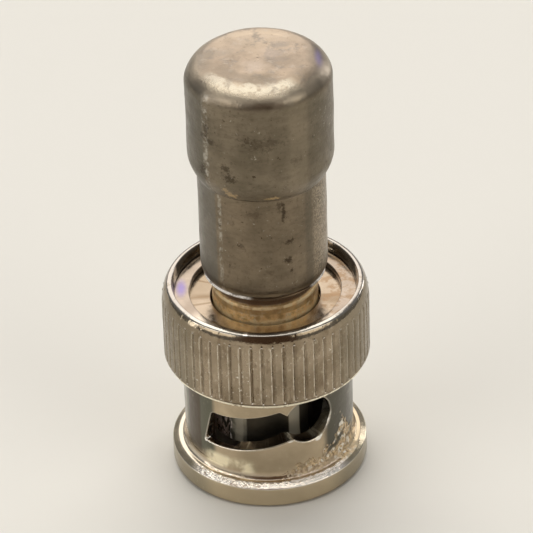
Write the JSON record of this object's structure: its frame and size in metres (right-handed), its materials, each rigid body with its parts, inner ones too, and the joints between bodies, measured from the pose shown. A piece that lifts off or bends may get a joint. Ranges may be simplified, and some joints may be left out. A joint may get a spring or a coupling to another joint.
{
  "type": "bnc terminator",
  "caption": "Bayonet coaxial terminator: knurled coupling nut with curved slots, captive on a slim plug body with a stem and a closed end cap.",
  "frame": {"origin": "centre of the coupling nut's mouth face, which the part stands on", "axes": "+Z along the connector's axis from the mouth to the closed end cap; -Y is the front, where one bayonet slot shows"},
  "size_m": [0.0144, 0.0144, 0.0327],
  "materials": {
    "bright_nickel": "polished nickel plate",
    "warm_nickel": "warm worn nickel plate",
    "dull_nickel": "dull tarnished nickel plate",
    "spring_bronze": "rolled spring bronze",
    "gold_plate": "gold plate",
    "tinned_copper": "tin plate",
    "solder": "solder",
    "seal_rubber": "matt rubber",
    "white_insulator": "waxy white plastic",
    "resistor_coating": "matt lacquer",
    "shrink_plastic": "matt black plastic"
  },
  "bodies": {
    "plug": {"plug_body": "warm_nickel", "outer_contact": "bright_nickel", "gasket": "seal_rubber", "front_insulator": "white_insulator", "rear_insulator": "white_insulator", "center_pin": "gold_plate", "stem_sleeve": "dull_nickel", "end_cap": "dull_nickel", "ground_disc": "tinned_copper", "resistor_body": "resistor_coating", "resistor_front_cap": "tinned_copper", "resistor_rear_cap": "tinned_copper", "resistor_front_lead": "tinned_copper", "resistor_rear_lead": "tinned_copper", "resistor_sleeve": "shrink_plastic", "front_solder": "solder", "rear_solder": "solder", "wave_spring_1": "spring_bronze", "wave_spring_2": "spring_bronze"},
    "washer": {"thrust_washer": "warm_nickel"},
    "nut": {"coupling_nut": "bright_nickel", "retaining_ring": "bright_nickel"}
  },
  "joints": [
    {"name": "nut_slide", "type": "slide", "parent": "plug", "child": "washer", "axis": [0, 0, -1], "range_m": [0, 0.0006], "stiffness_N_per_m": 12000, "deforming": ["wave_spring_1", "wave_spring_2"]},
    {"name": "nut_spin", "type": "hinge", "parent": "washer", "child": "nut", "pos_m": [0, 0, 0], "axis": [0, 0, 1], "continuous": true}
  ]
}
